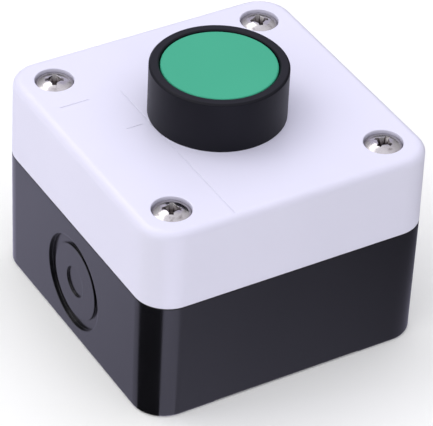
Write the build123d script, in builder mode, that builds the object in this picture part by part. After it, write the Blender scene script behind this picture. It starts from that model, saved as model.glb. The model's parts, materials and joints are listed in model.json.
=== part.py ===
from build123d import *
import math
import os

os.makedirs("parts", exist_ok=True)

# One-button control station. Millimetres, +Z up along the button's axis.
# The origin is under the middle of the box, on the plane that its feet stand on.
# The cable knock-outs are in the +X and -X walls.

# ---------------------------------------------------------------- enclosure
box_side = 66.4
box_height = 47.0
seam_height = 28.5
corner_radius = 7.3
wall = 2.8
draft_angle = 0.4
top_edge_radius = 1.8
bottom_edge_radius = 0.6
seam_edge_radius = 0.2
floor_top = 3.0
foot_height = 0.5
foot_gap = 35.0

inner_side = box_side - 2 * wall
inner_radius = corner_radius - wall
base_draft = seam_height * math.tan(math.radians(draft_angle))
base_bottom_side = box_side - 2 * base_draft
ceiling = box_height - wall

# Corner posts, inserts and cover screws
screw_spacing = 49.6
post_spacing = 49.8
post_side = 12.4
post_radius = 3.0
insert_radius = 2.8
insert_length = 8.0
insert_top = seam_height - 0.2
insert_hole_radius = 2.85
insert_hole_depth = 8.6
screw_run_radius = 2.3
screw_run_depth = 12.0
recess_radius = 4.15
recess_edge_radius = 0.15
recess_depth = 2.2
head_seat = box_height - recess_depth
head_radius = 3.95
head_edge = 1.5
head_height = 2.55
screw_radius = 2.0
screw_length = 25.0
cross_length = 4.4
cross_width = 1.05
cross_core_radius = 1.4
cross_depth = 1.9
cross_taper = 8.0
# Each screw stopped at its own angle when it was tightened.
screw_angles = {(-1, 1): 63.0, (-1, -1): 59.0, (1, -1): 28.0, (1, 1): 74.0}

# Gasket in the base's rim, and the cover's locating lip
gasket_inset = 0.8
gasket_width = 1.2
gasket_depth = 1.3
gasket_play = 0.05
lip_depth = 2.0
lip_thickness = 1.2
lip_length = 32.0
lip_play = 0.2
lip_root = 2.0

# Knock-outs
knockout_height = 13.8
knockout_radius = 10.75
knockout_disc_radius = 8.55
knockout_groove_depth = 0.9
knockout_disc_depth = 0.4
knockout_web = 0.7
knockout_score_width = 1.0
dimple_radius = 3.5
dimple_depth = 0.4

# Screw holes that fix the box to a wall or a machine
fixing_spacing = 52.0
fixing_hole_radius = 2.15
fixing_boss_radius = 4.5
fixing_boss_height = 1.0

# Fine moulding lines on the cover
line_width = 0.2
line_depth = 0.06
long_line_x = -14.35
long_line_back = 15.1
dashes = [((-25.05, 15.35), 6.7), ((-17.85, 2.75), 3.8)]

# ----------------------------------------------------------------- operator
panel_hole_radius = 11.15
panel_key_width = 3.2
panel_key_reach = 12.95
bezel_radius = 14.5
bezel_top = 58.7
bezel_bevel = 0.4
bezel_bevel_radius = 0.12
bezel_bore_radius = 12.4
bezel_bore_edge = 0.25
cup_floor = 49.0
sleeve_radius = 11.0
sleeve_bottom = 33.4
sleeve_bore_radius = 9.6
guide_radius = 8.08
guide_bottom = 40.8
thread_pitch = 1.5
thread_depth = 0.55
thread_turns = 6
keyway_width = 2.3
keyway_floor = 10.2

panel_seal_radius = 13.7
panel_seal_height = 1.0
seal_play = 0.1

ring_seal_section = 0.75
ring_seal_bottom = 43.7
ring_seal_slot = 1.8
ring_seal_slot_radius = 9.65
ring_seal_radius = 8.87

washer_thickness = 1.0
washer_bore_radius = 11.1
washer_radius = 14.3
washer_tab_width = 3.0
washer_tab_inner = 11.7
washer_tab_outer = 12.8
washer_tab_height = 2.0
washer_tooth_width = 2.1
washer_tooth_reach = 10.35

nut_corner_radius = 15.6
nut_height = 5.5
nut_bore_radius = 11.06
nut_edge_radius = 0.8
nut_top = ceiling - washer_thickness

travel = 4.0
cap_radius = 12.15
cap_top = 58.5
cap_thickness = 2.0
cap_edge_radius = 0.35
cap_skirt_radius = 10.95
cap_skirt_bottom = cup_floor + travel + 0.4
cap_collar_radius = 9.1
cap_collar_bore = 8.05
cap_collar_bottom = 54.4
cap_underside = cap_top - cap_thickness

plunger_radius = 8.0
plunger_bore_radius = 6.5
plunger_top = 56.4
plunger_bottom = 38.4
plunger_web = 2.0
plunger_nose_radius = 2.7
plunger_nose_bottom = 34.0
clip_groove_radius = 7.3
clip_groove_bottom = 39.6
clip_groove_top = 40.7
clip_radius = 9.2
clip_bore_radius = 7.35
clip_bottom = 39.7
clip_thickness = 0.9
clip_mouth = 9.0

return_spring_radius = 10.05
return_spring_wire = 0.35
return_spring_turns = 4

# ------------------------------------------------------------ contact block
adapter_bore_radius = 11.1
adapter_radius = 13.8
adapter_top = 36.4
adapter_floor_top = 33.1
adapter_floor_bottom = 31.1
adapter_opening_radius = 6.2
adapter_bar_width = 10.0
leg_inner = 15.3
leg_outer = 16.9
leg_width = 8.0
leg_bottom = 26.0
hook_reach = 14.2
hook_height = 1.4
notch_depth = 1.0
notch_bottom = 25.8
notch_height = 1.9
notch_width = 8.4
lock_screw_height = 34.75
lock_screw_radius = 1.2
lock_screw_hole_radius = 1.27
lock_screw_tip = 11.4
lock_screw_seat = 13.9
lock_screw_head_radius = 2.3
lock_screw_head_height = 1.6
slot_width = 0.6
slot_depth = 0.8

block_half_length = 15.0
block_front = -6.0
block_back = 6.0
block_bottom = 12.0
block_top = 31.0
block_wall = 1.5
block_edge_radius = 0.6
lid_thickness = 1.4
cavity_back = block_back - block_wall
cavity_bottom = block_bottom + block_wall
cavity_top = block_top - block_wall
cavity_half_length = block_half_length - block_wall
cavity_front = block_front + lid_thickness

terminal_x = 10.0
screw_access_radius = 3.2
wire_entry_width = 4.8
wire_entry_bottom = 15.3
wire_entry_height = 2.6
pusher_bore_radius = 3.0
rib_inner = 3.45
rib_thickness = 1.0
rib_bottom = 25.6

strip_inner = 4.2
strip_outer = 13.4
strip_width = 6.0
strip_bottom = 17.8
strip_thickness = 1.0
strip_tail_height = 2.2
strip_hole_radius = 1.8
strip_top = strip_bottom + strip_thickness

tip_x = 6.0
tip_edge_radius = 0.3
fixed_tip_radius = 1.5
fixed_tip_height = 0.9
moving_tip_radius = 1.4
moving_tip_height = 1.0

terminal_screw_radius = 1.7
terminal_screw_top = 21.6
terminal_head_radius = 2.8
terminal_head_bottom = 12.4
terminal_head_height = 2.0
clamp_side = 6.0
clamp_thickness = 0.9
clamp_bottom = 14.5
clamp_hole_radius = 1.85
clamp_edge_radius = 0.2

pusher_length = 6.4
pusher_width = 6.8
pusher_bottom = 20.4
pusher_shoulder = 28.9
pusher_top = 33.8
pusher_stem_radius = 2.9
pusher_stem_edge = 0.4
window_bottom = 23.35
window_top = 28.0
window_width = 4.4
spring_pocket_radius = 2.75
spring_pocket_depth = 1.2

bridge_half_length = 7.8
bridge_width = 3.8
bridge_bottom = 23.5
bridge_thickness = 0.8
bridge_top = bridge_bottom + bridge_thickness

carrier_spring_radius = 2.2
carrier_spring_wire = 0.2
carrier_spring_turns = 6
contact_spring_radius = 1.6
contact_spring_wire = 0.18
contact_spring_turns = 4
spring_play = 0.04


def ring_profile(points):
    """Closed outline of (radius, height) points, to be revolved about the Z axis."""
    with BuildSketch(Plane.XZ) as outline:
        with BuildLine():
            Polyline(*points, close=True)
        make_face()
    return outline.sketch


def coil_path(radius, wire, turns, low, high):
    """Helix for a round wire whose coil stands between two seats."""
    start = low + wire + spring_play
    rise = high - low - 2 * (wire + spring_play)
    return Helix(rise / turns, rise, radius, center=(0, 0, start), mode=Mode.PRIVATE)


def coil_section(path, wire):
    """Round section of a coil's wire at the start of its path."""
    with BuildSketch(Plane(origin=path @ 0, z_dir=path % 0)) as section:
        Circle(wire)
    return section.sketch


# ---------------------------------------------------------------- base box
# A drafted tub on four corner feet, with posts for the cover screws.
with BuildPart() as base_box:
    with BuildSketch(Plane.XY):
        RectangleRounded(base_bottom_side, base_bottom_side, corner_radius - base_draft)
    extrude(amount=seam_height, taper=-draft_angle)
    fillet(base_box.edges().group_by(Axis.Z)[0], bottom_edge_radius)
    fillet(base_box.edges().group_by(Axis.Z)[-1], seam_edge_radius)
    with BuildSketch(Plane.XY):
        Rectangle(box_side, foot_gap)
        Rectangle(foot_gap, box_side)
    extrude(amount=foot_height, mode=Mode.SUBTRACT)
    with BuildSketch(Plane.XY.offset(floor_top)):
        RectangleRounded(inner_side, inner_side, inner_radius)
    extrude(amount=seam_height - floor_top, mode=Mode.SUBTRACT)
    with BuildSketch(Plane.XY.offset(floor_top)):
        with GridLocations(post_spacing, post_spacing, 2, 2):
            RectangleRounded(post_side, post_side, post_radius)
    extrude(amount=seam_height - floor_top)
    # Gasket groove in the rim
    with BuildSketch(Plane.XY.offset(seam_height)):
        groove_side = box_side - 2 * (gasket_inset - gasket_play)
        groove_width = gasket_width + 2 * gasket_play
        groove_radius = corner_radius - gasket_inset + gasket_play
        RectangleRounded(groove_side, groove_side, groove_radius)
        RectangleRounded(
            groove_side - 2 * groove_width,
            groove_side - 2 * groove_width,
            groove_radius - groove_width,
            mode=Mode.SUBTRACT,
        )
    extrude(amount=-gasket_depth, mode=Mode.SUBTRACT)
    # Insert pockets, with run-out below them for the screw tips
    with Locations((0, 0, seam_height)):
        with GridLocations(screw_spacing, screw_spacing, 2, 2):
            Hole(insert_hole_radius, depth=insert_hole_depth)
            Hole(screw_run_radius, depth=screw_run_depth)
    # Fixing holes in the floor, each in a low boss
    with BuildSketch(Plane.XY.offset(floor_top)):
        with GridLocations(0, fixing_spacing, 1, 2):
            Circle(fixing_boss_radius)
    extrude(amount=fixing_boss_height)
    with BuildSketch(Plane.XY):
        with GridLocations(0, fixing_spacing, 1, 2):
            Circle(fixing_hole_radius)
    extrude(amount=floor_top + fixing_boss_height, mode=Mode.SUBTRACT)
    # Knock-out in each cable wall: a ring groove outside and a score line inside leave a thin web
    wall_face = box_side / 2 - base_draft * (1 - knockout_height / seam_height)
    for side in (-1, 1):
        groove_floor = side * (wall_face - knockout_groove_depth)
        with BuildSketch(Plane(origin=(groove_floor, 0, knockout_height), z_dir=(side, 0, 0))):
            Circle(knockout_radius)
            Circle(knockout_disc_radius, mode=Mode.SUBTRACT)
        extrude(amount=2 * knockout_groove_depth, mode=Mode.SUBTRACT)
        disc_face = side * (wall_face - knockout_disc_depth)
        with BuildSketch(Plane(origin=(disc_face, 0, knockout_height), z_dir=(side, 0, 0))):
            Circle(knockout_radius)
        extrude(amount=knockout_groove_depth, mode=Mode.SUBTRACT)
        dimple_floor = side * (wall_face - knockout_disc_depth - dimple_depth)
        with BuildSketch(Plane(origin=(dimple_floor, 0, knockout_height), z_dir=(side, 0, 0))):
            Circle(dimple_radius)
        extrude(amount=knockout_groove_depth, mode=Mode.SUBTRACT)
        web_back = side * (wall_face - knockout_groove_depth - knockout_web)
        with BuildSketch(Plane(origin=(web_back, 0, knockout_height), z_dir=(-side, 0, 0))):
            Circle(knockout_radius)
            Circle(knockout_radius - knockout_score_width, mode=Mode.SUBTRACT)
        extrude(amount=wall, mode=Mode.SUBTRACT)
base_box.part.label = "base_box"
export_step(base_box.part, "parts/base_box.step")

# ------------------------------------------------------------------- cover
with BuildPart() as cover:
    with BuildSketch(Plane.XY.offset(seam_height)):
        RectangleRounded(box_side, box_side, corner_radius)
    extrude(amount=box_height - seam_height, taper=draft_angle)
    fillet(cover.edges().group_by(Axis.Z)[-1], top_edge_radius)
    fillet(cover.edges().group_by(Axis.Z)[0], seam_edge_radius)
    with BuildSketch(Plane.XY.offset(seam_height)):
        RectangleRounded(inner_side, inner_side, inner_radius)
    extrude(amount=ceiling - seam_height, mode=Mode.SUBTRACT)
    with BuildSketch(Plane.XY.offset(seam_height)):
        with GridLocations(post_spacing, post_spacing, 2, 2):
            RectangleRounded(post_side, post_side, post_radius)
    extrude(amount=ceiling - seam_height)
    # Lip that drops inside the base's four walls
    lip_middle = inner_side / 2 - lip_play - lip_thickness / 2
    with BuildSketch(Plane.XY.offset(seam_height - lip_depth)):
        with PolarLocations(lip_middle, 4):
            Rectangle(lip_thickness, lip_length)
    extrude(amount=lip_depth + lip_root)
    with BuildSketch(Plane.XY.offset(seam_height)):
        with PolarLocations(lip_middle + lip_play, 4):
            Rectangle(lip_thickness + 2 * lip_play, lip_length)
    extrude(amount=lip_root)
    # Keyed hole for a 22 mm operator
    with BuildSketch(Plane.XY.offset(ceiling)):
        Circle(panel_hole_radius)
        with Locations((0, panel_key_reach / 2)):
            Rectangle(panel_key_width, panel_key_reach)
    extrude(amount=wall, mode=Mode.SUBTRACT)
    # Screw recesses and the holes below them
    with Locations((0, 0, box_height)):
        with GridLocations(screw_spacing, screw_spacing, 2, 2):
            CounterBoreHole(screw_run_radius, recess_radius, recess_depth, depth=box_height - seam_height)
    recess_rims = cover.edges().filter_by(GeomType.CIRCLE).filter_by_position(Axis.Z, box_height, box_height)
    fillet([edge for edge in recess_rims if math.isclose(edge.radius, recess_radius)], recess_edge_radius)
    # Fine moulding lines
    with BuildSketch(Plane.XY.offset(box_height)):
        with Locations((long_line_x, (long_line_back - box_side / 2) / 2)):
            Rectangle(line_width, long_line_back + box_side / 2)
        for middle, length in dashes:
            with Locations(middle):
                Rectangle(length, line_width)
    extrude(amount=-line_depth, mode=Mode.SUBTRACT)
cover.part.label = "cover"
export_step(cover.part, "parts/cover.step")

with BuildPart() as cover_gasket:
    with BuildSketch(Plane.XY.offset(seam_height - gasket_depth)):
        gasket_side = box_side - 2 * gasket_inset
        RectangleRounded(gasket_side, gasket_side, corner_radius - gasket_inset)
        RectangleRounded(
            gasket_side - 2 * gasket_width,
            gasket_side - 2 * gasket_width,
            corner_radius - gasket_inset - gasket_width,
            mode=Mode.SUBTRACT,
        )
    extrude(amount=gasket_depth)
cover_gasket.part.label = "cover_gasket"
export_step(cover_gasket.part, "parts/cover_gasket.step")

# Domed pan-head screws with a cross recess
with BuildPart() as cover_screws:
    for (side_x, side_y), angle in screw_angles.items():
        screw_x = side_x * screw_spacing / 2
        screw_y = side_y * screw_spacing / 2
        with BuildSketch(Plane(origin=(screw_x, screw_y, head_seat), x_dir=(1, 0, 0), z_dir=(0, -1, 0))):
            with BuildLine():
                Polyline(
                    (0, head_height),
                    (0, -screw_length),
                    (screw_radius, -screw_length),
                    (screw_radius, 0),
                    (head_radius, 0),
                    (head_radius, head_edge),
                )
                EllipticalCenterArc((0, head_edge), head_radius, head_height - head_edge, arc_size=90)
            make_face()
        revolve(axis=Axis((screw_x, screw_y, 0), (0, 0, 1)))
        cross_plane = Plane(origin=(screw_x, screw_y, head_seat + head_height), z_dir=(0, 0, 1))
        with BuildSketch(cross_plane.rotated((0, 0, angle))):
            Rectangle(cross_length, cross_width)
            Rectangle(cross_width, cross_length)
            RegularPolygon(cross_core_radius, 4)
        extrude(amount=-cross_depth, taper=cross_taper, mode=Mode.SUBTRACT)
cover_screws.part.label = "cover_screws"
export_step(cover_screws.part, "parts/cover_screws.step")

with BuildPart() as threaded_inserts:
    with BuildSketch(Plane.XY.offset(insert_top)):
        with GridLocations(screw_spacing, screw_spacing, 2, 2):
            Circle(insert_radius)
            Circle(screw_radius + spring_play, mode=Mode.SUBTRACT)
    extrude(amount=-insert_length)
    waist_height = insert_length / 4
    with BuildSketch(Plane.XY.offset(insert_top - insert_length / 2 - waist_height / 2)):
        with GridLocations(screw_spacing, screw_spacing, 2, 2):
            Circle(insert_radius)
            Circle((insert_radius + screw_radius) / 2, mode=Mode.SUBTRACT)
    extrude(amount=waist_height, mode=Mode.SUBTRACT)
threaded_inserts.part.label = "threaded_inserts"
export_step(threaded_inserts.part, "parts/threaded_inserts.step")

# ------------------------------------------------------------------- bezel
# Raised rim, cup for the cap, guide bore, and the threaded sleeve under the panel.
thread_start = sleeve_bottom + thread_pitch / 2
thread_points = []
for turn in range(thread_turns):
    crest = thread_start + turn * thread_pitch
    thread_points.append((sleeve_radius, crest))
    thread_points.append((sleeve_radius - thread_depth, crest + thread_depth))
    thread_points.append((sleeve_radius, crest + 2 * thread_depth))
with BuildPart() as bezel_body:
    outline = ring_profile(
        [
            (bezel_radius, box_height),
            (bezel_radius, bezel_top - bezel_bevel),
            (bezel_radius - bezel_bevel, bezel_top),
            (bezel_bore_radius + bezel_bore_edge, bezel_top),
            (bezel_bore_radius, bezel_top - bezel_bore_edge),
            (bezel_bore_radius, cup_floor),
            (guide_radius, cup_floor),
            (guide_radius, ring_seal_bottom + ring_seal_slot),
            (ring_seal_slot_radius, ring_seal_bottom + ring_seal_slot),
            (ring_seal_slot_radius, ring_seal_bottom),
            (guide_radius, ring_seal_bottom),
            (guide_radius, guide_bottom),
            (sleeve_bore_radius, guide_bottom),
            (sleeve_bore_radius, sleeve_bottom),
            (sleeve_radius, sleeve_bottom),
            *thread_points,
            (sleeve_radius, box_height + panel_seal_height),
            (panel_seal_radius, box_height + panel_seal_height),
            (panel_seal_radius, box_height),
        ]
    )
    revolve(outline, axis=Axis.Z)
    bevel_edges = bezel_body.edges().filter_by(GeomType.CIRCLE).filter_by_position(
        Axis.Z, bezel_top - bezel_bevel, bezel_top
    )
    fillet([edge for edge in bevel_edges if edge.radius > panel_seal_radius], bezel_bevel_radius)
    # Keyway down the sleeve
    with BuildSketch(Plane.XY.offset(sleeve_bottom)):
        with Locations((0, (keyway_floor + bezel_radius) / 2)):
            Rectangle(keyway_width, bezel_radius - keyway_floor)
    extrude(amount=ceiling - sleeve_bottom, mode=Mode.SUBTRACT)
bezel_body.part.label = "bezel_body"
export_step(bezel_body.part, "parts/bezel_body.step")

with BuildPart() as bezel_gasket:
    with BuildSketch(Plane.XY.offset(box_height)):
        Circle(panel_seal_radius - seal_play)
        Circle(sleeve_radius + seal_play, mode=Mode.SUBTRACT)
    extrude(amount=panel_seal_height)
bezel_gasket.part.label = "bezel_gasket"
export_step(bezel_gasket.part, "parts/bezel_gasket.step")

with BuildPart() as plunger_seal:
    with BuildSketch(Plane.XZ):
        with Locations((ring_seal_radius, ring_seal_bottom + ring_seal_slot / 2)):
            Circle(ring_seal_section)
    revolve(axis=Axis.Z)
plunger_seal.part.label = "plunger_seal"
export_step(plunger_seal.part, "parts/plunger_seal.step")

# Washer whose tab stands in the panel's key and whose tooth stands in the sleeve's keyway
with BuildPart() as locating_washer:
    with BuildSketch(Plane.XY.offset(nut_top)):
        Circle(washer_radius)
        Circle(washer_bore_radius, mode=Mode.SUBTRACT)
        with Locations((0, (washer_tooth_reach + washer_tab_inner) / 2)):
            Rectangle(washer_tooth_width, washer_tab_inner - washer_tooth_reach)
    extrude(amount=washer_thickness)
    with BuildSketch(Plane.XY.offset(ceiling)):
        with Locations((0, (washer_tab_inner + washer_tab_outer) / 2)):
            Rectangle(washer_tab_width, washer_tab_outer - washer_tab_inner)
    extrude(amount=washer_tab_height)
locating_washer.part.label = "locating_washer"
export_step(locating_washer.part, "parts/locating_washer.step")

with BuildPart() as fixing_nut:
    with BuildSketch(Plane.XY.offset(nut_top)):
        RegularPolygon(nut_corner_radius, 6)
        Circle(nut_bore_radius, mode=Mode.SUBTRACT)
    extrude(amount=-nut_height)
    fillet(fixing_nut.edges().filter_by(Axis.Z).group_by(SortBy.LENGTH)[-1], nut_edge_radius)
fixing_nut.part.label = "fixing_nut"
export_step(fixing_nut.part, "parts/fixing_nut.step")

# ------------------------------------------------------------------ button
with BuildPart() as button_cap:
    outline = ring_profile(
        [
            (0, cap_top),
            (cap_radius, cap_top),
            (cap_radius, cap_skirt_bottom),
            (cap_skirt_radius, cap_skirt_bottom),
            (cap_skirt_radius, cap_underside),
            (cap_collar_radius, cap_underside),
            (cap_collar_radius, cap_collar_bottom),
            (cap_collar_bore, cap_collar_bottom),
            (cap_collar_bore, cap_underside),
            (0, cap_underside),
        ]
    )
    revolve(outline, axis=Axis.Z)
    fillet(button_cap.edges().group_by(Axis.Z)[-1], cap_edge_radius)
button_cap.part.label = "button_cap"
export_step(button_cap.part, "parts/button_cap.step")

with BuildPart() as plunger:
    outline = ring_profile(
        [
            (0, plunger_bottom + plunger_web),
            (plunger_bore_radius, plunger_bottom + plunger_web),
            (plunger_bore_radius, plunger_top),
            (plunger_radius, plunger_top),
            (plunger_radius, clip_groove_top),
            (clip_groove_radius, clip_groove_top),
            (clip_groove_radius, clip_groove_bottom),
            (plunger_radius, clip_groove_bottom),
            (plunger_radius, plunger_bottom),
            (plunger_nose_radius, plunger_bottom),
            (plunger_nose_radius, plunger_nose_bottom),
            (0, plunger_nose_bottom),
        ]
    )
    revolve(outline, axis=Axis.Z)
plunger.part.label = "plunger"
export_step(plunger.part, "parts/plunger.step")

# Open ring that stops the plunger at the guide's lower face
with BuildPart() as retaining_clip:
    with BuildSketch(Plane.XY.offset(clip_bottom)):
        Circle(clip_radius)
        Circle(clip_bore_radius, mode=Mode.SUBTRACT)
        with Locations((0, -clip_radius)):
            Rectangle(clip_mouth, clip_radius, mode=Mode.SUBTRACT)
    extrude(amount=clip_thickness)
retaining_clip.part.label = "retaining_clip"
export_step(retaining_clip.part, "parts/retaining_clip.step")

with BuildPart() as return_spring:
    helix = coil_path(
        return_spring_radius,
        return_spring_wire,
        return_spring_turns,
        cup_floor,
        cap_underside,
    )
    sweep(coil_section(helix, return_spring_wire), path=helix, is_frenet=True)
return_spring.part.label = "return_spring"
export_step(return_spring.part, "parts/return_spring.step")

# ----------------------------------------------------------------- adapter
# Collar on the sleeve's end, with two hooked legs that hold the contact block.
with BuildPart() as mounting_adapter:
    with BuildSketch(Plane.XY.offset(adapter_floor_bottom)):
        Circle(adapter_radius)
        Rectangle(2 * leg_outer, adapter_bar_width)
    extrude(amount=adapter_floor_top - adapter_floor_bottom)
    with BuildSketch(Plane.XY.offset(adapter_floor_top)):
        Circle(adapter_radius)
        Circle(adapter_bore_radius, mode=Mode.SUBTRACT)
    extrude(amount=adapter_top - adapter_floor_top)
    with BuildSketch(Plane.XY.offset(adapter_floor_bottom)):
        Circle(adapter_opening_radius)
    extrude(amount=adapter_floor_top - adapter_floor_bottom, mode=Mode.SUBTRACT)
    with BuildSketch(Plane.XY.offset(leg_bottom)):
        with GridLocations(leg_inner + leg_outer, 0, 2, 1):
            Rectangle(leg_outer - leg_inner, leg_width)
    extrude(amount=adapter_floor_bottom - leg_bottom)
    with BuildSketch(Plane.XY.offset(leg_bottom)):
        with GridLocations(hook_reach + leg_outer, 0, 2, 1):
            Rectangle(leg_outer - hook_reach, leg_width)
    extrude(amount=hook_height)
    with BuildSketch(Plane(origin=(0, 0, lock_screw_height), z_dir=(0, -1, 0))):
        Circle(lock_screw_hole_radius)
    extrude(amount=adapter_radius, mode=Mode.SUBTRACT)
mounting_adapter.part.label = "mounting_adapter"
export_step(mounting_adapter.part, "parts/mounting_adapter.step")

with BuildPart() as lock_screw:
    with BuildSketch(Plane(origin=(0, -lock_screw_tip, lock_screw_height), z_dir=(0, -1, 0))):
        Circle(lock_screw_radius)
    extrude(amount=lock_screw_seat - lock_screw_tip)
    with BuildSketch(Plane(origin=(0, -lock_screw_seat, lock_screw_height), z_dir=(0, -1, 0))):
        Circle(lock_screw_head_radius)
    extrude(amount=lock_screw_head_height)
    slot_face = lock_screw_seat + lock_screw_head_height
    with BuildSketch(Plane(origin=(0, -slot_face, lock_screw_height), z_dir=(0, -1, 0))):
        Rectangle(2 * lock_screw_head_radius, slot_width)
    extrude(amount=-slot_depth, mode=Mode.SUBTRACT)
lock_screw.part.label = "lock_screw"
export_step(lock_screw.part, "parts/lock_screw.step")

# ----------------------------------------------------------- contact block
block_height = block_top - block_bottom
cavity_height = cavity_top - cavity_bottom
with BuildPart() as contact_housing:
    with BuildSketch(Plane.XY.offset(block_bottom)):
        with Locations((0, (cavity_front + block_back) / 2)):
            Rectangle(2 * block_half_length, block_back - cavity_front)
    extrude(amount=block_height)
    fillet(contact_housing.edges().filter_by(Axis.Z).group_by(Axis.Y)[-1], block_edge_radius)
    with BuildSketch(Plane.XY.offset(cavity_bottom)):
        with Locations((0, (cavity_front + cavity_back) / 2)):
            Rectangle(2 * cavity_half_length, cavity_back - cavity_front)
    extrude(amount=cavity_height, mode=Mode.SUBTRACT)
    # Guide ribs beside the pusher
    with BuildSketch(Plane.XY.offset(rib_bottom)):
        with Locations((0, (cavity_front + cavity_back) / 2)):
            with GridLocations(2 * rib_inner + rib_thickness, 0, 2, 1):
                Rectangle(rib_thickness, cavity_back - cavity_front)
    extrude(amount=cavity_top - rib_bottom)
    # Pusher bore, screw access holes, wire entries and hook notches
    with BuildSketch(Plane.XY.offset(cavity_top)):
        Circle(pusher_bore_radius)
    extrude(amount=block_wall, mode=Mode.SUBTRACT)
    with BuildSketch(Plane.XY.offset(block_bottom)):
        with GridLocations(2 * terminal_x, 0, 2, 1):
            Circle(screw_access_radius)
    extrude(amount=block_wall, mode=Mode.SUBTRACT)
    with BuildSketch(Plane.XY.offset(wire_entry_bottom)):
        Rectangle(2 * block_half_length, wire_entry_width)
    extrude(amount=wire_entry_height, mode=Mode.SUBTRACT)
    with BuildSketch(Plane.XY.offset(notch_bottom)):
        with GridLocations(2 * block_half_length, 0, 2, 1):
            Rectangle(2 * notch_depth, notch_width)
    extrude(amount=notch_height, mode=Mode.SUBTRACT)
contact_housing.part.label = "contact_housing"
export_step(contact_housing.part, "parts/contact_housing.step")

with BuildPart() as contact_lid:
    with BuildSketch(Plane.XY.offset(block_bottom)):
        with Locations((0, block_front + lid_thickness / 2)):
            Rectangle(2 * block_half_length, lid_thickness)
    extrude(amount=block_height)
    fillet(contact_lid.edges().filter_by(Axis.Z).group_by(Axis.Y)[0], block_edge_radius)
contact_lid.part.label = "contact_lid"
export_step(contact_lid.part, "parts/contact_lid.step")

# Terminal strips, each threaded for its screw and bent up at the outer end
with BuildPart() as fixed_contacts:
    with BuildSketch(Plane.XY.offset(strip_bottom)):
        with GridLocations(strip_inner + strip_outer, 0, 2, 1):
            Rectangle(strip_outer - strip_inner, strip_width)
        with GridLocations(2 * terminal_x, 0, 2, 1):
            Circle(strip_hole_radius, mode=Mode.SUBTRACT)
    extrude(amount=strip_thickness)
    with BuildSketch(Plane.XY.offset(strip_top)):
        with GridLocations(2 * strip_outer - strip_thickness, 0, 2, 1):
            Rectangle(strip_thickness, strip_width)
    extrude(amount=strip_tail_height)
fixed_contacts.part.label = "fixed_contacts"
export_step(fixed_contacts.part, "parts/fixed_contacts.step")

with BuildPart() as fixed_tips:
    with BuildSketch(Plane.XY.offset(strip_top)):
        with GridLocations(2 * tip_x, 0, 2, 1):
            Circle(fixed_tip_radius)
    extrude(amount=fixed_tip_height)
    fillet(fixed_tips.edges().group_by(Axis.Z)[-1], tip_edge_radius)
fixed_tips.part.label = "fixed_tips"
export_step(fixed_tips.part, "parts/fixed_tips.step")

with BuildPart() as terminal_screws:
    with BuildSketch(Plane.XY.offset(terminal_head_bottom)):
        with GridLocations(2 * terminal_x, 0, 2, 1):
            Circle(terminal_head_radius)
    extrude(amount=terminal_head_height)
    fillet(terminal_screws.edges().group_by(Axis.Z)[0], tip_edge_radius)
    with BuildSketch(Plane.XY.offset(terminal_head_bottom)):
        with GridLocations(2 * terminal_x, 0, 2, 1):
            Rectangle(2 * terminal_head_radius, slot_width)
    extrude(amount=slot_depth, mode=Mode.SUBTRACT)
    with BuildSketch(Plane.XY.offset(terminal_head_bottom + terminal_head_height)):
        with GridLocations(2 * terminal_x, 0, 2, 1):
            Circle(terminal_screw_radius)
    extrude(amount=terminal_screw_top - terminal_head_bottom - terminal_head_height)
terminal_screws.part.label = "terminal_screws"
export_step(terminal_screws.part, "parts/terminal_screws.step")

with BuildPart() as terminal_clamps:
    with BuildSketch(Plane.XY.offset(clamp_bottom)):
        with GridLocations(2 * terminal_x, 0, 2, 1):
            Rectangle(clamp_side, clamp_side)
            Circle(clamp_hole_radius, mode=Mode.SUBTRACT)
    extrude(amount=clamp_thickness)
    fillet(terminal_clamps.edges().filter_by(Axis.Z).filter_by(GeomType.LINE), clamp_edge_radius)
terminal_clamps.part.label = "terminal_clamps"
export_step(terminal_clamps.part, "parts/terminal_clamps.step")

# Pusher with a window for the bridge and its spring
with BuildPart() as contact_pusher:
    with BuildSketch(Plane.XY.offset(pusher_bottom)):
        Rectangle(pusher_length, pusher_width)
    extrude(amount=pusher_shoulder - pusher_bottom)
    with BuildSketch(Plane.XY.offset(pusher_shoulder)):
        Circle(pusher_stem_radius)
    extrude(amount=pusher_top - pusher_shoulder)
    fillet(contact_pusher.edges().group_by(Axis.Z)[-1], pusher_stem_edge)
    with BuildSketch(Plane.XY.offset(window_bottom)):
        Rectangle(pusher_length, window_width)
    extrude(amount=window_top - window_bottom, mode=Mode.SUBTRACT)
    with BuildSketch(Plane.XY.offset(pusher_bottom)):
        Circle(spring_pocket_radius)
    extrude(amount=spring_pocket_depth, mode=Mode.SUBTRACT)
contact_pusher.part.label = "contact_pusher"
export_step(contact_pusher.part, "parts/contact_pusher.step")

with BuildPart() as contact_bridge:
    with BuildSketch(Plane.XY.offset(bridge_bottom)):
        SlotOverall(2 * bridge_half_length, bridge_width)
    extrude(amount=bridge_thickness)
contact_bridge.part.label = "contact_bridge"
export_step(contact_bridge.part, "parts/contact_bridge.step")

with BuildPart() as bridge_tips:
    with BuildSketch(Plane.XY.offset(bridge_bottom)):
        with GridLocations(2 * tip_x, 0, 2, 1):
            Circle(moving_tip_radius)
    extrude(amount=-moving_tip_height)
    fillet(bridge_tips.edges().group_by(Axis.Z)[0], tip_edge_radius)
bridge_tips.part.label = "bridge_tips"
export_step(bridge_tips.part, "parts/bridge_tips.step")

with BuildPart() as carrier_spring:
    helix = coil_path(
        carrier_spring_radius,
        carrier_spring_wire,
        carrier_spring_turns,
        cavity_bottom,
        pusher_bottom + spring_pocket_depth,
    )
    sweep(coil_section(helix, carrier_spring_wire), path=helix, is_frenet=True)
carrier_spring.part.label = "carrier_spring"
export_step(carrier_spring.part, "parts/carrier_spring.step")

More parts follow.
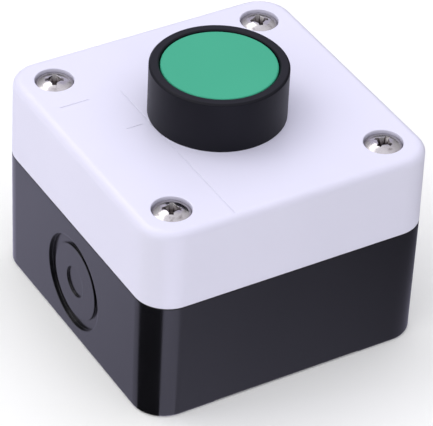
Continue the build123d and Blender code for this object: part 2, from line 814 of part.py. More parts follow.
with BuildPart() as contact_spring:
    helix = coil_path(
        contact_spring_radius,
        contact_spring_wire,
        contact_spring_turns,
        bridge_top,
        window_top,
    )
    sweep(coil_section(helix, contact_spring_wire), path=helix, is_frenet=True)
contact_spring.part.label = "contact_spring"
export_step(contact_spring.part, "parts/contact_spring.step")
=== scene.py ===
import json
import math

import bmesh
import bpy
from mathutils import Matrix, Vector


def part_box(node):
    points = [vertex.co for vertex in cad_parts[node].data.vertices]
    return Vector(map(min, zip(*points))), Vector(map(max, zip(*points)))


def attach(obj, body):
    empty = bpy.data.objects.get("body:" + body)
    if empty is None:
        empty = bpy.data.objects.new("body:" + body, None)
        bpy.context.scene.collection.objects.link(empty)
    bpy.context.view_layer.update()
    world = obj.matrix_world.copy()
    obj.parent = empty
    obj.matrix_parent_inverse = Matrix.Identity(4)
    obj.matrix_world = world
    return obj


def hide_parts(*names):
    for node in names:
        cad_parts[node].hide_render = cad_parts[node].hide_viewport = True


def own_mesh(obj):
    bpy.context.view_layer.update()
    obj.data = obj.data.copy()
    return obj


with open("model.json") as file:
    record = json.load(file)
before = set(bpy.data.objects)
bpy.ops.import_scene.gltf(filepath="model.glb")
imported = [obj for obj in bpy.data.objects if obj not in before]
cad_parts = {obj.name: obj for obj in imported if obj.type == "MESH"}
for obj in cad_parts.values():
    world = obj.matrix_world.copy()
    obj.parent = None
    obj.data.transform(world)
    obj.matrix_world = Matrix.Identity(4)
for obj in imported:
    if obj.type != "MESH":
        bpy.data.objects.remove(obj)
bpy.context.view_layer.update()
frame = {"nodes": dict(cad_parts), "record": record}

sceneNow = bpy.context.scene
sceneNow.view_settings.view_transform = "Standard"
mm = 0.001
print("frame loaded:", len(frame["nodes"]), "nodes")

# --------------------------------------------------------------------- camera
viewpoint = {
    "aim": (0.0, 0.0, 0.030),
    "azimuth": -31.90,
    "elevation": 37.34,
    "roll": -2.96,
    "distance": 0.65527,
    "sideStep": 0.00054,
    "dropStep": 0.00760,
    "lens": 260.4,
}


def placeCamera(look):
    azimuth = math.radians(look["azimuth"])
    elevation = math.radians(look["elevation"])
    roll = math.radians(look["roll"])
    back = Vector((
        math.sin(azimuth) * math.cos(elevation),
        -math.cos(azimuth) * math.cos(elevation),
        math.sin(elevation),
    ))
    levelRight = (-back).cross(Vector((0, 0, 1))).normalized()
    levelDown = (-back).cross(levelRight).normalized()
    right = levelRight * math.cos(roll) + levelDown * math.sin(roll)
    down = levelDown * math.cos(roll) - levelRight * math.sin(roll)
    lens = bpy.data.cameras.new("camera")
    lens.lens = look["lens"]
    lens.sensor_width = 36.0
    lens.clip_start = 0.01
    lens.clip_end = 20.0
    holder = bpy.data.objects.new("camera", lens)
    turn = Matrix((right, -down, back)).transposed().to_4x4()
    spot = Vector(look["aim"]) + back * look["distance"]
    spot += right * look["sideStep"] + down * look["dropStep"]
    holder.matrix_world = Matrix.Translation(spot) @ turn
    sceneNow.collection.objects.link(holder)
    sceneNow.camera = holder


placeCamera(viewpoint)
print("camera placed")

# --------------------------------------------------------------------- studio
studio = {
    "floorColour": (0.96, 0.96, 0.91),
    "floorGlow": 0.06,
    "floorSize": 6.0,
    "floorHeight": -0.02 * mm,
    "horizon": (0.02, 0.02, 0.0),
    "zenith": (1.36, 1.36, 1.48),
    "seenSky": (1.0, 1.0, 1.0),
    # name: direction the light comes from, distance, size, watts, colour
    "lights": {
        "keySoftbox": ((-0.42, 0.42, 0.80), 1.3, 0.75, 2.9, (1.0, 0.99, 1.0)),
        "leftSoftbox": ((-0.88, -0.30, 0.45), 1.3, 0.90, 1.9, (0.98, 0.98, 1.0)),
    },
    # panels of painted highlight and sheen that only shine in the gloss: direction, distance, size, brightness, colour
    "paintedHighlightPanels": {
        "backHighlightPanel": ((0.42, 0.68, 0.60), 1.3, 0.90, 0.90, (0.90, 0.88, 1.12)),
        "topHighlightPanel": ((0.02, 0.56, 0.83), 1.3, 0.42, 3.2, (1.0, 1.0, 1.0)),
    },
}


def softbox(name, direction, distance, size, watts, colour):
    light = bpy.data.lights.new(name, "AREA")
    light.shape = "SQUARE"
    light.size = size
    light.energy = watts
    light.color = colour
    holder = bpy.data.objects.new(name, light)
    away = Vector(direction).normalized()
    turn = away.to_track_quat("Z", "Y").to_matrix().to_4x4()
    holder.matrix_world = Matrix.Translation(away * distance) @ turn
    sceneNow.collection.objects.link(holder)


def layFloor(look):
    mesh = bpy.data.meshes.new("floor")
    shape = bmesh.new()
    level = Matrix.Translation((0, 0, look["floorHeight"]))
    bmesh.ops.create_grid(shape, x_segments=1, y_segments=1, size=look["floorSize"] / 2, matrix=level)
    shape.to_mesh(mesh)
    shape.free()
    floor = bpy.data.objects.new("floor", mesh)
    sceneNow.collection.objects.link(floor)
    paint = bpy.data.materials.new("floorPaint")
    paint.use_nodes = True
    shader = paint.node_tree.nodes["Principled BSDF"]
    shader.inputs["Base Color"].default_value = (*look["floorColour"], 1)
    shader.inputs["Roughness"].default_value = 0.9
    shader.inputs["Emission Color"].default_value = (1, 1, 1, 1)
    shader.inputs["Emission Strength"].default_value = look["floorGlow"]
    mesh.materials.append(paint)
    # the floor is kept out of the gloss; the painted reflection cards stand in for it there
    floor.visible_glossy = False


def hangSky(look):
    # A paler sky overhead than at the horizon; the eye sees plain studio paper instead.
    world = bpy.data.worlds.new("studioAir")
    world.use_nodes = True
    sceneNow.world = world
    nodes = world.node_tree.nodes
    links = world.node_tree.links
    nodes.clear()
    direction = nodes.new("ShaderNodeTexCoord")
    split = nodes.new("ShaderNodeSeparateXYZ")
    blend = nodes.new("ShaderNodeValToRGB")
    lit = nodes.new("ShaderNodeBackground")
    seen = nodes.new("ShaderNodeBackground")
    path = nodes.new("ShaderNodeLightPath")
    mix = nodes.new("ShaderNodeMixShader")
    output = nodes.new("ShaderNodeOutputWorld")
    blend.color_ramp.elements[0].color = (*look["horizon"], 1)
    blend.color_ramp.elements[1].color = (*look["zenith"], 1)
    seen.inputs["Color"].default_value = (*look["seenSky"], 1)
    links.new(direction.outputs["Generated"], split.inputs["Vector"])
    links.new(split.outputs["Z"], blend.inputs["Fac"])
    links.new(blend.outputs["Color"], lit.inputs["Color"])
    links.new(path.outputs["Is Camera Ray"], mix.inputs["Fac"])
    links.new(lit.outputs["Background"], mix.inputs[1])
    links.new(seen.outputs["Background"], mix.inputs[2])
    links.new(mix.outputs["Shader"], output.inputs["Surface"])


layFloor(studio)
hangSky(studio)
for lightName, lightFacts in studio["lights"].items():
    softbox(lightName, *lightFacts)

# Painted reflections: dark, grey and white glowing cards lie round the box, and only its gloss sees them.
paintedReflectionCards = {
    "reach": 2.5,
    "height": 0.00002,
    # edge of a card: where it starts in mm, and the direction it runs in
    "edges": [((-33.2, -27.4), 146.0), ((-30.2, -32.0), 232.0), ((-26.9, -33.3), 286.0), ((33.4, 26.0), 430.0)],
    # brightness of the card that starts at that edge: where its fade runs from and to in mm, and its two ends
    "fades": [
        ((-33.0, 33.0), (-60.0, -20.0), 0.02, 0.02),
        ((-42.0, 0.0), (-20.0, 0.0), 1.35, 1.05),
        ((-30.0, -33.0), (72.0, -50.0), 0.66, 0.08),
        ((-40.0, 45.0), (-40.0, -18.0), 0.75, 0.54),
    ],
}


def onlyInGloss(thing):
    thing.visible_camera = False
    thing.visible_diffuse = False
    thing.visible_transmission = False
    thing.visible_volume_scatter = False
    thing.visible_shadow = False


def layPaintedReflectionCards(look):
    count = len(look["edges"])
    for n in range(count):
        (startX, startY), fromAngle = look["edges"][n]
        (endX, endY), toAngle = look["edges"][(n + 1) % count]
        if toAngle <= fromAngle:
            toAngle += 360.0
        corners = [(0.0, 0.0), (startX * mm, startY * mm)]
        steps = max(2, math.ceil((toAngle - fromAngle) / 30.0))
        for step in range(steps + 1):
            share = step / steps
            angle = math.radians(fromAngle + (toAngle - fromAngle) * share)
            baseX = (startX * (1 - share) + endX * share) * mm
            baseY = (startY * (1 - share) + endY * share) * mm
            corners.append((baseX + look["reach"] * math.cos(angle), baseY + look["reach"] * math.sin(angle)))
        corners.append((endX * mm, endY * mm))
        shape = bmesh.new()
        rim = [shape.verts.new((x, y, look["height"])) for x, y in corners]
        bmesh.ops.triangle_fill(
            shape, edges=[shape.edges.new((rim[k], rim[(k + 1) % len(rim)])) for k in range(len(rim))]
        )
        mesh = bpy.data.meshes.new(f"card{n}")
        shape.to_mesh(mesh)
        shape.free()
        paintedReflectionCard = bpy.data.objects.new(f"card{n}", mesh)
        sceneNow.collection.objects.link(paintedReflectionCard)
        paper = bpy.data.materials.new(f"paintedReflectionGlow{n}")
        paper.use_nodes = True
        nodes = paper.node_tree.nodes
        nodes.clear()
        # the card's glow paints a reflection in the gloss, its brightness fading across the floor
        glow = nodes.new("ShaderNodeEmission")
        output = nodes.new("ShaderNodeOutputMaterial")
        glow.inputs["Color"].default_value = (1.0, 0.97, 1.30, 1)
        fadeFrom, fadeTo, firstShade, lastShade = look["fades"][n]
        along = (Vector(fadeTo) - Vector(fadeFrom)) * mm
        place = nodes.new("ShaderNodeTexCoord")
        project = nodes.new("ShaderNodeVectorMath")
        project.operation = "DOT_PRODUCT"
        project.inputs[1].default_value = (*along.normalized(), 0.0)
        paper.node_tree.links.new(place.outputs["Object"], project.inputs[0])
        begin = Vector(fadeFrom).dot(along.normalized()) * mm
        shade = nodes.new("ShaderNodeMapRange")
        shade.inputs["From Min"].default_value = begin
        shade.inputs["From Max"].default_value = begin + along.length
        shade.inputs["To Min"].default_value = firstShade
        shade.inputs["To Max"].default_value = lastShade
        paper.node_tree.links.new(project.outputs["Value"], shade.inputs["Value"])
        paper.node_tree.links.new(shade.outputs["Result"], glow.inputs["Strength"])
        paper.node_tree.links.new(glow.outputs["Emission"], output.inputs["Surface"])
        mesh.materials.append(paper)
        onlyInGloss(paintedReflectionCard)


# A glowing panel that paints a highlight and sheen in the gloss; it lights nothing.
def hangPaintedHighlightPanel(name, direction, distance, size, brightness, colour):
    away = Vector(direction).normalized()
    turn = away.to_track_quat("Z", "Y").to_matrix().to_4x4()
    shape = bmesh.new()
    bmesh.ops.create_grid(
        shape, x_segments=1, y_segments=1, size=size / 2, matrix=Matrix.Translation(away * distance) @ turn
    )
    mesh = bpy.data.meshes.new(name)
    shape.to_mesh(mesh)
    shape.free()
    highlightPanel = bpy.data.objects.new(name, mesh)
    sceneNow.collection.objects.link(highlightPanel)
    highlightGlow = bpy.data.materials.new(name + "Cloth")
    highlightGlow.use_nodes = True
    nodes = highlightGlow.node_tree.nodes
    nodes.clear()
    glow = nodes.new("ShaderNodeEmission")
    output = nodes.new("ShaderNodeOutputMaterial")
    glow.inputs["Color"].default_value = (*colour, 1)
    glow.inputs["Strength"].default_value = brightness
    highlightGlow.node_tree.links.new(glow.outputs["Emission"], output.inputs["Surface"])
    mesh.materials.append(highlightGlow)
    onlyInGloss(highlightPanel)


layPaintedReflectionCards(paintedReflectionCards)
for panelName, panelFacts in studio["paintedHighlightPanels"].items():
    hangPaintedHighlightPanel(panelName, *panelFacts)
print("studio built")


# ------------------------------------------------------------- finish helpers
def newFinish(name):
    finish = bpy.data.materials.new(name)
    finish.use_nodes = True
    tree = finish.node_tree
    tree.nodes.clear()
    output = tree.nodes.new("ShaderNodeOutputMaterial")
    shader = tree.nodes.new("ShaderNodeBsdfPrincipled")
    place = tree.nodes.new("ShaderNodeTexCoord")
    tree.links.new(shader.outputs["BSDF"], output.inputs["Surface"])
    return finish, tree, shader, place.outputs["Object"]


def noise(tree, place, scale, detail=3.0, stretch=(1, 1, 1)):
    mapping = tree.nodes.new("ShaderNodeMapping")
    mapping.inputs["Scale"].default_value = stretch
    texture = tree.nodes.new("ShaderNodeTexNoise")
    texture.inputs["Scale"].default_value = scale
    texture.inputs["Detail"].default_value = detail
    tree.links.new(place, mapping.inputs["Vector"])
    tree.links.new(mapping.outputs["Vector"], texture.inputs["Vector"])
    return texture.outputs["Fac"]


def spread(tree, value, fromLow, fromHigh, toLow, toHigh):
    node = tree.nodes.new("ShaderNodeMapRange")
    node.inputs["From Min"].default_value = fromLow
    node.inputs["From Max"].default_value = fromHigh
    node.inputs["To Min"].default_value = toLow
    node.inputs["To Max"].default_value = toHigh
    tree.links.new(value, node.inputs["Value"])
    return node.outputs["Result"]


def combine(tree, operation, first, second):
    node = tree.nodes.new("ShaderNodeMath")
    node.operation = operation
    node.use_clamp = True
    for socket, value in ((node.inputs[0], first), (node.inputs[1], second)):
        if isinstance(value, (int, float)):
            socket.default_value = value
        else:
            tree.links.new(value, socket)
    return node.outputs["Value"]


def tint(tree, factor, first, second):
    node = tree.nodes.new("ShaderNodeMix")
    node.data_type = "RGBA"
    colours = [socket for socket in node.inputs if socket.type == "RGBA"]
    tree.links.new(factor, node.inputs["Factor"])
    for socket, value in zip(colours, (first, second)):
        if isinstance(value, tuple):
            socket.default_value = (*value, 1)
        else:
            tree.links.new(value, socket)
    return next(socket for socket in node.outputs if socket.type == "RGBA")


def softEdges(tree, radius):
    # The normal as if every edge were rounded, and a mask that is 1 on those edges.
    rounded = tree.nodes.new("ShaderNodeBevel")
    rounded.samples = 6
    rounded.inputs["Radius"].default_value = radius
    surface = tree.nodes.new("ShaderNodeNewGeometry")
    compare = tree.nodes.new("ShaderNodeVectorMath")
    compare.operation = "DOT_PRODUCT"
    tree.links.new(rounded.outputs["Normal"], compare.inputs[0])
    tree.links.new(surface.outputs["Normal"], compare.inputs[1])
    return rounded.outputs["Normal"], spread(tree, compare.outputs["Value"], 0.995, 0.85, 0.0, 1.0)


def relief(tree, height, depth, normal=None):
    node = tree.nodes.new("ShaderNodeBump")
    node.inputs["Strength"].default_value = 1.0
    node.inputs["Distance"].default_value = depth
    tree.links.new(height, node.inputs["Height"])
    if normal is not None:
        tree.links.new(normal, node.inputs["Normal"])
    return node.outputs["Normal"]


# ------------------------------------------------------------ moulded plastics
plastics = {
    "base_plastic": {
        "colour": (0.0045, 0.0045, 0.0055),
        "shade": (0.0065, 0.0063, 0.0080),
        "rubbed": (0.030, 0.030, 0.035),
        "polish": 0.16,
        "dull": 0.25,
        "gloss": 0.5,
        "grainScale": 2600.0,
        "grainDepth": 0.0000015,
        "waveDepth": 0.000012,
        "edgeRadius": 0.00025,
    },
    "cover_plastic": {
        "colour": (0.800, 0.785, 0.910),
        "shade": (0.775, 0.762, 0.885),
        "rubbed": (0.84, 0.83, 0.93),
        "polish": 0.30,
        "dull": 0.42,
        "gloss": 0.45,
        "grainScale": 3200.0,
        "grainDepth": 0.0000012,
        "waveDepth": 0.000010,
        "edgeRadius": 0.00025,
    },
    "bezel_plastic": {
        "colour": (0.0044, 0.0042, 0.0085),
        "shade": (0.0058, 0.0055, 0.0102),
        "rubbed": (0.012, 0.0115, 0.018),
        "polish": 0.40,
        "dull": 0.50,
        "gloss": 0.19,
        "grainScale": 4200.0,
        "grainDepth": 0.0000030,
        "waveDepth": 0.000004,
        "edgeRadius": 0.00020,
    },
    "cap_green": {
        "colour": (0.053, 0.416, 0.250),
        "shade": (0.049, 0.400, 0.240),
        "rubbed": (0.09, 0.50, 0.34),
        "polish": 0.38,
        "dull": 0.48,
        "gloss": 0.17,
        "grainScale": 3800.0,
        "grainDepth": 0.0000025,
        "waveDepth": 0.000003,
        "edgeRadius": 0.00020,
    },
    "block_plastic": {
        "colour": (0.52, 0.52, 0.50),
        "shade": (0.46, 0.46, 0.44),
        "rubbed": (0.62, 0.62, 0.60),
        "polish": 0.42,
        "dull": 0.58,
        "gloss": 0.40,
        "grainScale": 3000.0,
        "grainDepth": 0.0000040,
        "waveDepth": 0.000005,
        "edgeRadius": 0.00015,
    },
    "pusher_plastic": {
        "colour": (0.032, 0.200, 0.090),
        "shade": (0.026, 0.165, 0.075),
        "rubbed": (0.08, 0.28, 0.15),
        "polish": 0.40,
        "dull": 0.55,
        "gloss": 0.40,
        "grainScale": 3000.0,
        "grainDepth": 0.0000040,
        "waveDepth": 0.000005,
        "edgeRadius": 0.00015,
    },
}


def mouldedPlastic(name, look):
    finish, tree, shader, place = newFinish(name)
    flow = noise(tree, place, 38.0, 2.0, (1.0, 1.0, 0.45))
    handling = noise(tree, place, 190.0, 5.0)
    hairlines = noise(tree, place, 900.0, 2.0, (1.0, 0.06, 0.3))
    grain = noise(tree, place, look["grainScale"], 3.0)
    ripple = noise(tree, place, 120.0, 1.0)
    rounded, edges = softEdges(tree, look["edgeRadius"])
    worn = combine(tree, "MULTIPLY", edges, spread(tree, handling, 0.40, 0.70, 0.0, 0.8))
    body = tint(tree, spread(tree, flow, 0.35, 0.65, 0.0, 1.0), look["colour"], look["shade"])
    tree.links.new(tint(tree, worn, body, look["rubbed"]), shader.inputs["Base Color"])
    patchy = combine(tree, "ADD", spread(tree, flow, 0.3, 0.7, 0.0, 0.5), spread(tree, handling, 0.3, 0.7, 0.0, 0.35))
    patchy = combine(tree, "ADD", patchy, spread(tree, hairlines, 0.62, 0.72, 0.0, 0.25))
    tree.links.new(
        spread(tree, patchy, 0.0, 1.0, look["polish"], look["dull"]), shader.inputs["Roughness"]
    )
    wavy = relief(tree, ripple, look["waveDepth"], rounded)
    tree.links.new(relief(tree, grain, look["grainDepth"], wavy), shader.inputs["Normal"])
    shader.inputs["Specular IOR Level"].default_value = look["gloss"]
    shader.inputs["IOR"].default_value = 1.5
    return finish


# ------------------------------------------------------------ metals and rubber
metals = {
    "screw_steel": {
        "colour": (0.50, 0.475, 0.475),
        "shade": (0.42, 0.395, 0.395),
        "tarnish": (0.18, 0.16, 0.155),
        # painted shade: the dark colour laid into the driving recess
        "recessShade": (0.085, 0.070, 0.068),
        "polish": 0.12,
        "dull": 0.24,
        "scratchScale": 1400.0,
        "scratchDepth": 0.0000020,
        "edgeRadius": 0.00008,
    },
    "zinc_steel": {
        "colour": (0.56, 0.57, 0.60),
        "shade": (0.44, 0.45, 0.47),
        "tarnish": (0.30, 0.29, 0.26),
        "polish": 0.28,
        "dull": 0.46,
        "scratchScale": 1100.0,
        "scratchDepth": 0.0000030,
        "edgeRadius": 0.00010,
    },
    "spring_steel": {
        "colour": (0.50, 0.50, 0.51),
        "shade": (0.36, 0.36, 0.37),
        "tarnish": (0.20, 0.19, 0.18),
        "polish": 0.24,
        "dull": 0.40,
        "scratchScale": 1600.0,
        "scratchDepth": 0.0000020,
        "edgeRadius": 0.00005,
    },
    "brass": {
        "colour": (0.76, 0.55, 0.24),
        "shade": (0.64, 0.43, 0.17),
        "tarnish": (0.34, 0.22, 0.10),
        "polish": 0.22,
        "dull": 0.42,
        "scratchScale": 1200.0,
        "scratchDepth": 0.0000025,
        "edgeRadius": 0.00010,
    },
    "contact_silver": {
        "colour": (0.82, 0.81, 0.78),
        "shade": (0.70, 0.69, 0.66),
        "tarnish": (0.42, 0.38, 0.32),
        "polish": 0.20,
        "dull": 0.38,
        "scratchScale": 1500.0,
        "scratchDepth": 0.0000020,
        "edgeRadius": 0.00008,
    },
}


def workedMetal(name, look, lathed=None):
    finish, tree, shader, place = newFinish(name)
    cloud = noise(tree, place, 260.0, 4.0)
    stain = noise(tree, place, 700.0, 6.0)
    scratches = noise(tree, place, look["scratchScale"], 2.0, (1.0, 0.08, 0.5))
    marks = scratches
    if lathed is not None:
        # Rings round each of the four corner axes, left by the heading tool.
        fold = tree.nodes.new("ShaderNodeVectorMath")
        fold.operation = "ABSOLUTE"
        centre = tree.nodes.new("ShaderNodeVectorMath")
        centre.operation = "SUBTRACT"
        centre.inputs[1].default_value = (lathed, lathed, 0.0)
        flatten = tree.nodes.new("ShaderNodeVectorMath")
        flatten.operation = "MULTIPLY"
        flatten.inputs[1].default_value = (1.0, 1.0, 0.0)
        reach = tree.nodes.new("ShaderNodeVectorMath")
        reach.operation = "LENGTH"
        ring = tree.nodes.new("ShaderNodeTexNoise")
        ring.noise_dimensions = "1D"
        ring.inputs["Scale"].default_value = 9000.0
        ring.inputs["Detail"].default_value = 2.0
        tree.links.new(place, fold.inputs[0])
        tree.links.new(fold.outputs["Vector"], centre.inputs[0])
        tree.links.new(centre.outputs["Vector"], flatten.inputs[0])
        tree.links.new(flatten.outputs["Vector"], reach.inputs[0])
        tree.links.new(reach.outputs["Value"], ring.inputs["W"])
        marks = combine(tree, "ADD", combine(tree, "MULTIPLY", scratches, 0.5), combine(tree, "MULTIPLY", ring.outputs["Fac"], 0.5))
    rounded, edges = softEdges(tree, look["edgeRadius"])
    body = tint(tree, spread(tree, cloud, 0.35, 0.65, 0.0, 1.0), look["colour"], look["shade"])
    dirt = combine(tree, "MULTIPLY", spread(tree, stain, 0.56, 0.74, 0.0, 0.7), combine(tree, "SUBTRACT", 1.0, edges))
    surfaceColour = tint(tree, dirt, body, look["tarnish"])
    if "recessShade" in look:
        # Painted shade: the driving recess is darkened in the colour
        recessShade = tree.nodes.new("ShaderNodeAttribute")
        recessShade.attribute_name = "recessShade"
        surfaceColour = tint(tree, recessShade.outputs["Fac"], surfaceColour, look["recessShade"])
    tree.links.new(surfaceColour, shader.inputs["Base Color"])
    patchy = combine(tree, "ADD", combine(tree, "MULTIPLY", cloud, 0.5), combine(tree, "MULTIPLY", marks, 0.5))
    tree.links.new(
        spread(tree, patchy, 0.30, 0.70, look["polish"], look["dull"]), shader.inputs["Roughness"]
    )
    tree.links.new(relief(tree, marks, look["scratchDepth"], rounded), shader.inputs["Normal"])
    shader.inputs["Metallic"].default_value = 1.0
    return finish


rubber = {
    "colour": (0.020, 0.020, 0.021),
    "bloom": (0.050, 0.050, 0.052),
    "polish": 0.62,
    "dull": 0.85,
    "grainScale": 2400.0,
    "grainDepth": 0.000006,
    "edgeRadius": 0.00012,
}


def sealRubber(name, look):
    finish, tree, shader, place = newFinish(name)
    bloom = noise(tree, place, 240.0, 5.0)
    grain = noise(tree, place, look["grainScale"], 3.0)
    rounded, edges = softEdges(tree, look["edgeRadius"])
    dusty = combine(tree, "ADD", spread(tree, bloom, 0.5, 0.75, 0.0, 0.7), combine(tree, "MULTIPLY", edges, 0.3))
    tree.links.new(tint(tree, dusty, look["colour"], look["bloom"]), shader.inputs["Base Color"])
    tree.links.new(
        spread(tree, bloom, 0.3, 0.7, look["polish"], look["dull"]), shader.inputs["Roughness"]
    )
    tree.links.new(relief(tree, grain, look["grainDepth"], rounded), shader.inputs["Normal"])
    shader.inputs["Specular IOR Level"].default_value = 0.35
    return finish


screwLow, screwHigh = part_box("cover_screws")
screws = {
    "headRadius": 3.95 * mm,
    "headEdge": 1.5 * mm,
    "headHeight": 2.55 * mm,
    "shankRadius": 1.95 * mm,
    "coreRadius": 1.62 * mm,
    "threadPitch": 0.7 * mm,
    "threadedLength": 8.0 * mm,
    "pointLength": 0.6 * mm,
    "domeSteps": 12,
    "roundSteps": 72,
    "crossReach": 2.2 * mm,
    "crossWidth": 1.05 * mm,
    "crossDepth": 1.9 * mm,
    "crossCore": 1.4 * mm,
    "edgeBevel": 0.07 * mm,
    # how each cross came to rest when its screw was tightened
    "turns": {(-1, 1): 63.0, (-1, -1): 59.0, (1, -1): 28.0, (1, 1): 74.0},
}
screwReach = (screwHigh.x - screwLow.x) / 2 - screws["headRadius"]

finishes = {}
for slotName, slotLook in plastics.items():
    finishes[slotName] = mouldedPlastic(slotName, slotLook)
for slotName, slotLook in metals.items():
    lathed = screwReach if slotName == "screw_steel" else None
    finishes[slotName] = workedMetal(slotName, slotLook, lathed)
finishes["seal_rubber"] = sealRubber("seal_rubber", rubber)

slotOf = {part["node"]: part["material_slot"] for part in frame["record"]["subparts"]}
for nodeName, slotName in slotOf.items():
    node = frame["nodes"][nodeName]
    if not node.material_slots:
        node.data.materials.append(None)
    for materialSlot in node.material_slots:
        materialSlot.material = finishes[slotName]
print("finishes made:", len(finishes))


# --------------------------------------------------------------- cover screws
def piece(name, shape, slotName):
    mesh = bpy.data.meshes.new(name)
    shape.to_mesh(mesh)
    shape.free()
    mesh.materials.append(finishes[slotName])
    thing = bpy.data.objects.new(name, mesh)
    sceneNow.collection.objects.link(thing)
    return thing


def turned(points, steps):
    # A closed round shape from its half outline, from axis to axis.
    shape = bmesh.new()
    outline = [shape.verts.new((radius, 0.0, height)) for radius, height in points]
    for first, second in zip(outline, outline[1:]):
        shape.edges.new((first, second))
    bmesh.ops.spin(
        shape,
        geom=shape.verts[:] + shape.edges[:],
        cent=(0, 0, 0),
        axis=(0, 0, 1),
        angle=math.tau,
        steps=steps,
        use_merge=True,
    )
    bmesh.ops.remove_doubles(shape, verts=shape.verts[:], dist=0.000001)
    bmesh.ops.recalc_face_normals(shape, faces=shape.faces[:])
    return shape


def domeHeight(look, top, radius):
    rise = look["headHeight"] - look["headEdge"]
    ball = (look["headRadius"] ** 2 + rise**2) / (2 * rise)
    return top - ball + math.sqrt(ball**2 - radius**2)


def screwOutline(look, top, tip):
    seat = top - look["headHeight"]
    points = [(0.0, tip), (look["coreRadius"] - 0.3 * mm, tip)]
    height = tip + look["pointLength"]
    while height < tip + look["threadedLength"]:
        points.append((look["coreRadius"], height))
        points.append((look["shankRadius"], height + look["threadPitch"] * 0.4))
        points.append((look["shankRadius"], height + look["threadPitch"] * 0.5))
        height += look["threadPitch"]
    points.append((look["coreRadius"], height))
    points.append((look["coreRadius"], seat - 0.2 * mm))
    points.append((look["coreRadius"] + 0.2 * mm, seat))
    points.append((look["headRadius"] - 0.1 * mm, seat))
    points.append((look["headRadius"], seat + 0.1 * mm))
    for step in range(look["domeSteps"] + 1):
        radius = look["headRadius"] * (1 - step / look["domeSteps"])
        points.append((radius, domeHeight(look, top, radius)))
    return points


def crossCutter(look, top):
    # Two tapering wings and a four-sided point in the middle.
    shape = bmesh.new()
    lift = 0.5 * mm
    tall = look["crossDepth"] + lift
    for reachX, reachY in ((look["crossReach"], look["crossWidth"] / 2), (look["crossWidth"] / 2, look["crossReach"])):
        wing = bmesh.ops.create_cube(shape, size=1.0)["verts"]
        for corner in wing:
            taper = 1.0 if corner.co.z > 0 else 0.62
            corner.co.x *= 2 * reachX * taper
            corner.co.y *= 2 * reachY * taper
            corner.co.z = top + lift if corner.co.z > 0 else top + lift - tall
    point = bmesh.ops.create_cone(
        shape,
        cap_ends=True,
        segments=8,
        radius1=look["crossCore"] * 0.45,
        radius2=look["crossCore"] * 1.15,
        depth=tall + 0.25 * mm,
        matrix=Matrix.Translation((0, 0, top + lift - (tall + 0.25 * mm) / 2)) @ Matrix.Rotation(math.pi / 8, 4, "Z"),
    )
    return shape


def applied(thing):
    # The mesh as its modifiers leave it, with the modifiers gone.
    bpy.context.view_layer.update()
    seen = thing.evaluated_get(bpy.context.evaluated_depsgraph_get())
    mesh = bpy.data.meshes.new_from_object(seen)
    thing.modifiers.clear()
    thing.data = mesh
    return mesh


def makeScrews(look):
    top = screwHigh.z
    head = piece("coverScrews", turned(screwOutline(look, top, screwLow.z), look["roundSteps"]), "screw_steel")
    cutterMesh = bpy.data.meshes.new("crossCutter")
    cutterShape = crossCutter(look, top)
    cutterShape.to_mesh(cutterMesh)
    cutterShape.free()
    cutter = bpy.data.objects.new("crossCutter", cutterMesh)
    sceneNow.collection.objects.link(cutter)
    cut = head.modifiers.new("cut", "BOOLEAN")
    cut.operation = "DIFFERENCE"
    cut.solver = "EXACT"
    cut.use_self = True
    cut.object = cutter
    ease = head.modifiers.new("ease", "BEVEL")
    ease.width = look["edgeBevel"]
    ease.segments = 2
    ease.limit_method = "ANGLE"
    ease.angle_limit = math.radians(42)
    one = applied(head)
    bpy.data.objects.remove(cutter)
    # Painted shade: vertices inside the driving recess are marked for a darker colour
    recessShadeMark = one.attributes.new("recessShade", "FLOAT", "POINT")
    for corner in one.vertices:
        reach = min(math.hypot(corner.co.x, corner.co.y), look["headRadius"])
        sunk = domeHeight(look, top, reach) - corner.co.z
        inside = reach < look["crossReach"] + 0.1 * mm and 0.12 * mm < sunk < look["crossDepth"] + 0.5 * mm
        recessShadeMark.data[corner.index].value = 1.0 if inside else 0.0
    everyScrew = bmesh.new()
    for (sideX, sideY), angle in look["turns"].items():
        start = len(everyScrew.verts)
        everyScrew.from_mesh(one)
        everyScrew.verts.ensure_lookup_table()
        place = Matrix.Translation((sideX * screwReach, sideY * screwReach, 0))
        place = place @ Matrix.Rotation(math.radians(angle), 4, "Z")
        bmesh.ops.transform(everyScrew, matrix=place, verts=everyScrew.verts[start:])
    for face in everyScrew.faces:
        face.smooth = True
    everyScrew.to_mesh(one)
    everyScrew.free()
    one.set_sharp_from_angle(angle=math.radians(50))
    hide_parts("cover_screws")
    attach(head, "enclosure")


makeScrews(screws)
print("screws made")

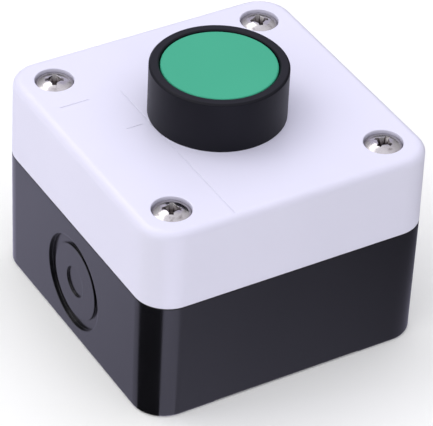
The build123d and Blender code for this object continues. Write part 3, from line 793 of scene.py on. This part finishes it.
# -------------------------------------------------------------------- springs
springs = {
    "returnSpring": {"node": "return_spring", "slot": "spring_steel", "wire": 0.70 * mm, "turns": 4.0,
                     "body": "enclosure", "joint": "button_press", "anchor": 49.0 * mm, "travel": 4.0 * mm},
    "carrierSpring": {"node": "carrier_spring", "slot": "spring_steel", "wire": 0.45 * mm, "turns": 6.0,
                      "body": "enclosure", "joint": "pusher_slide", "anchor": 13.5 * mm, "travel": 4.0 * mm},
    "contactSpring": {"node": "contact_spring", "slot": "spring_steel", "wire": 0.35 * mm, "turns": 4.0,
                      "body": "bridge", "joint": "bridge_slide", "anchor": 24.3 * mm, "travel": 1.4 * mm},
}
closedTurns = 1.0
stepsPerTurn = 40


def makeSpring(name, look):
    low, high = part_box(look["node"])
    radius = (high.x - low.x) / 2 - look["wire"] / 2
    free = high.z - low.z - look["wire"]
    closedRise = look["wire"] * 1.03
    openRise = (free - 2 * closedTurns * closedRise) / look["turns"]
    shape = bmesh.new()
    start = Matrix.Translation((radius, 0, low.z + look["wire"] / 2)) @ Matrix.Rotation(math.pi / 2, 4, "X")
    ring = bmesh.ops.create_circle(shape, segments=12, radius=look["wire"] / 2, matrix=start)["verts"]
    front = list({edge for corner in ring for edge in corner.link_edges})
    firstRing = list(front)
    for turns, rise in ((closedTurns, closedRise), (look["turns"], openRise), (closedTurns, closedRise)):
        steps = round(turns * stepsPerTurn)
        grown = bmesh.ops.spin(
            shape,
            geom=list({corner for edge in front for corner in edge.verts}) + front,
            cent=(0, 0, 0),
            axis=(0, 0, 1),
            dvec=(0, 0, rise / stepsPerTurn),
            angle=math.tau * turns,
            steps=steps,
            use_merge=False,
        )
        front = [part for part in grown["geom_last"] if isinstance(part, bmesh.types.BMEdge)]
    bmesh.ops.contextual_create(shape, geom=firstRing)
    bmesh.ops.contextual_create(shape, geom=front)
    bmesh.ops.recalc_face_normals(shape, faces=shape.faces[:])
    for face in shape.faces:
        face.smooth = len(face.verts) == 4
    centreX = (high.x + low.x) / 2
    centreY = (high.y + low.y) / 2
    bmesh.ops.translate(shape, vec=(centreX, centreY, 0), verts=shape.verts[:])
    spring = piece(name, shape, look["slot"])
    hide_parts(look["node"])
    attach(spring, look["body"])
    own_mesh(spring)


for springName, springLook in springs.items():
    makeSpring(springName, springLook)
print("springs made:", len(springs))

# ----------------------------------------------------------------------- end
print("scene built")
